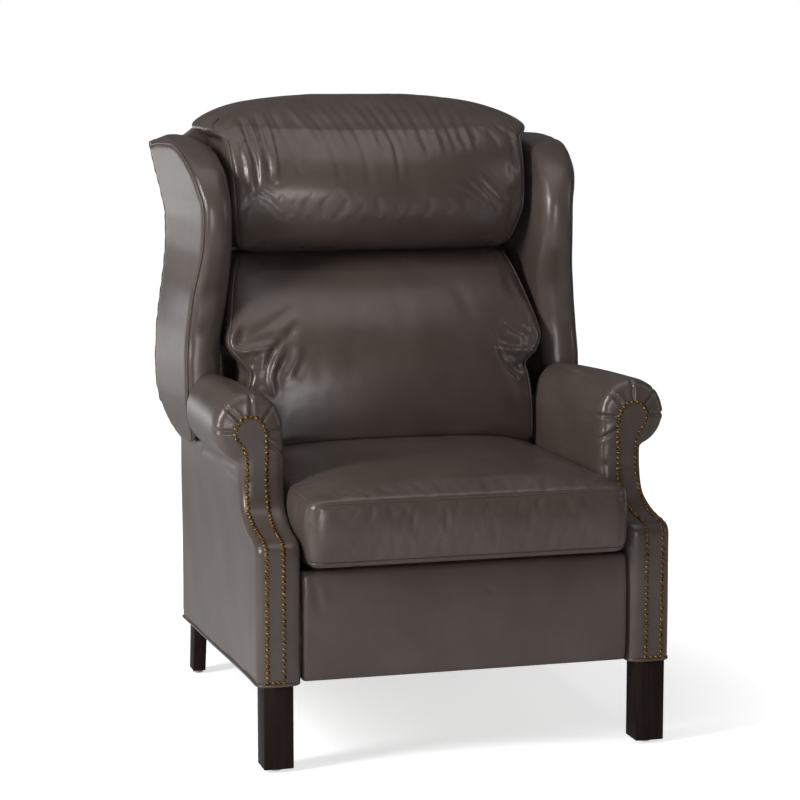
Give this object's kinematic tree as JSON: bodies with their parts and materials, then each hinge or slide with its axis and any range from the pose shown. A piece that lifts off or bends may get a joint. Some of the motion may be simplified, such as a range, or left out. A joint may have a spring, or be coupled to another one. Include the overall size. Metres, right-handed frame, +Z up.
{
  "type": "wingback recliner",
  "caption": "High-leg wing chair in dark leather that reclines: scroll arms with nail trim, boxed seat cushion, lumbar cushion, head pillow and a swing-out footrest.",
  "frame": {"origin": "on the floor, at the bottom centre of the bounding box", "axes": "+Z up, -Y the front of the chair, +X to the right of a viewer facing the front"},
  "size_m": [0.8356, 0.8826, 1.143],
  "materials": {
    "leather": "semi-gloss aniline-dyed hide",
    "padded_leather": "semi-gloss hide over foam, wadding and a light frame",
    "espresso_wood": "satin espresso lacquer, rubbed edges",
    "frame_wood": "bare sawn hardwood and plywood",
    "mechanism_steel": "dark oiled steel",
    "deck_cloth": "woven deck cloth",
    "nail_brass": "antiqued brass",
    "nylon": "moulded nylon"
  },
  "bodies": {
    "base": {"front_leg_left": "espresso_wood", "front_leg_right": "espresso_wood", "rear_leg_left": "espresso_wood", "rear_leg_right": "espresso_wood", "leg_glides": "nylon", "side_rail_left": "frame_wood", "side_rail_right": "frame_wood", "front_rail": "frame_wood", "rear_rail": "frame_wood", "corner_blocks": "frame_wood", "base_rear_panel": "leather", "outside_arm_left": "leather", "outside_arm_right": "leather", "inside_arm_left": "leather", "inside_arm_right": "leather", "arm_roll_left": "padded_leather", "arm_roll_right": "padded_leather", "arm_rail_left": "frame_wood", "arm_rail_right": "frame_wood", "arm_stumps": "frame_wood", "front_post_left": "padded_leather", "front_post_right": "padded_leather", "arm_facing_left": "leather", "arm_facing_right": "leather", "nail_trim": "nail_brass", "base_welts": "leather", "track_left": "mechanism_steel", "track_right": "mechanism_steel", "pivot_plate_left": "mechanism_steel", "pivot_plate_right": "mechanism_steel"},
    "seat": {"seat_side_rails": "frame_wood", "seat_cross_rails": "frame_wood", "seat_springs": "mechanism_steel", "seat_deck": "deck_cloth", "seat_cushion": "padded_leather", "seat_plate_left": "mechanism_steel", "seat_plate_right": "mechanism_steel", "seat_rollers": "nylon"},
    "back": {"back_stiles": "frame_wood", "back_rails": "frame_wood", "back_spring_cloth": "deck_cloth", "back_bracket_left": "mechanism_steel", "back_bracket_right": "mechanism_steel", "wing_left": "padded_leather", "wing_right": "padded_leather", "wing_board_left": "frame_wood", "wing_board_right": "frame_wood", "outside_back": "leather", "lumbar_cushion": "padded_leather", "head_pillow": "padded_leather"},
    "drive_link": {"drive_links": "mechanism_steel"},
    "lift_link": {"lift_links": "mechanism_steel"},
    "reach_link": {"reach_links": "mechanism_steel"},
    "footrest": {"footrest_board": "frame_wood", "footrest_pad": "padded_leather", "footrest_brackets": "mechanism_steel"}
  },
  "joints": [
    {"name": "back_recline", "type": "hinge", "parent": "base", "child": "back", "pos_m": [0, 0.244, 0.33], "axis": [-1, 0, 0], "range_deg": [0, 35]},
    {"name": "seat_slide", "type": "slide", "parent": "base", "child": "seat", "axis": [0, -1, 0], "range_m": [0, 0.05]},
    {"name": "drive_link_pivot", "type": "hinge", "parent": "seat", "child": "drive_link", "pos_m": [0, 0.06, 0.25], "axis": [1, 0, 0], "range_deg": [0, 4.9]},
    {"name": "lift_link_pivot", "type": "hinge", "parent": "seat", "child": "lift_link", "pos_m": [0, -0.226, 0.335], "axis": [-1, 0, 0], "range_deg": [0, 88]},
    {"name": "reach_link_pivot", "type": "hinge", "parent": "lift_link", "child": "reach_link", "pos_m": [0, -0.226, 0.175], "axis": [1, 0, 0], "range_deg": [0, 118]},
    {"name": "footrest_pivot", "type": "hinge", "parent": "reach_link", "child": "footrest", "pos_m": [0, -0.37, 0.33], "axis": [-1, 0, 0], "range_deg": [0, 115]}
  ],
  "couplings": [
    {"joint": "seat_slide", "follows": "back_recline", "m_per_rad": 0.081843},
    {"joint": "drive_link_pivot", "follows": "back_recline", "ratio": 0.13999},
    {"joint": "lift_link_pivot", "follows": "back_recline", "ratio": 2.514},
    {"joint": "reach_link_pivot", "follows": "back_recline", "ratio": 3.3711},
    {"joint": "footrest_pivot", "follows": "back_recline", "ratio": 3.2854}
  ]
}
